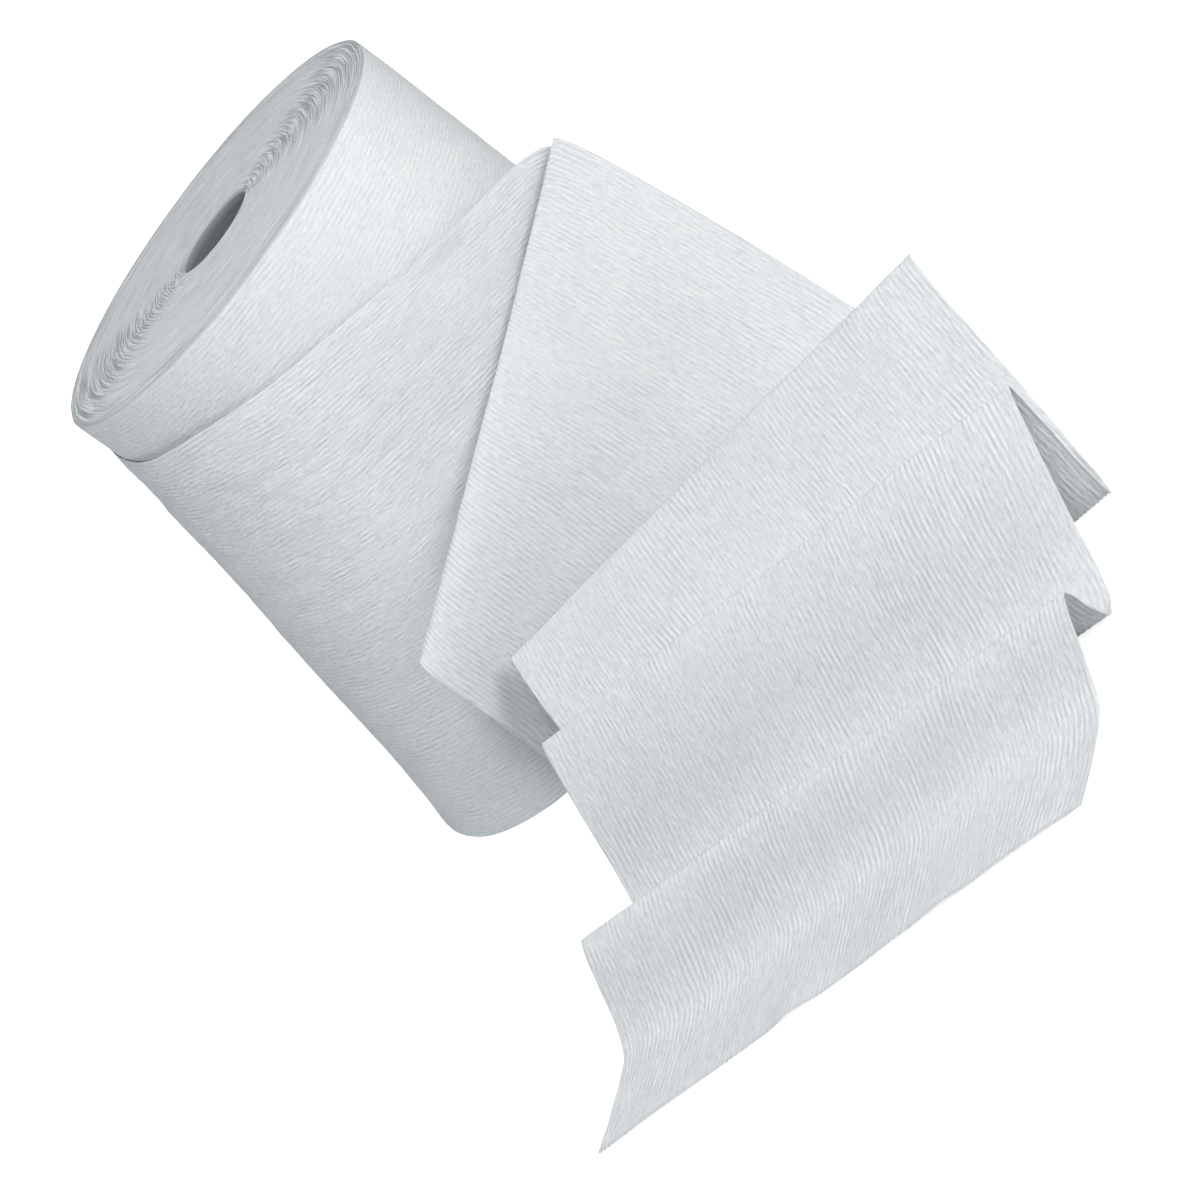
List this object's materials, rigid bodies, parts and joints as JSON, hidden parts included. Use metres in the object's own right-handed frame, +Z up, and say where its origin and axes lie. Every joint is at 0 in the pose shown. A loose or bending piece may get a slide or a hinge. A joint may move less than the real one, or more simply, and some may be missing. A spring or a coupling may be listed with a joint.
{
  "type": "paper towel roll",
  "caption": "White creped paper towel roll without a core tube, standing on its end, its loose end drawn off the front in soft folds; plain hole through it for a spindle.",
  "frame": {"origin": "centre of the spindle hole at the foot of the roll, on the table", "axes": "+Z up along the spindle hole, -Y towards the free end of the paper, +X to the right seen from the front"},
  "size_m": [0.2899, 0.5051, 0.203],
  "materials": {
    "creped_paper": "matte"
  },
  "bodies": {
    "root": {"paper_towel": "creped_paper"}
  },
  "joints": []
}
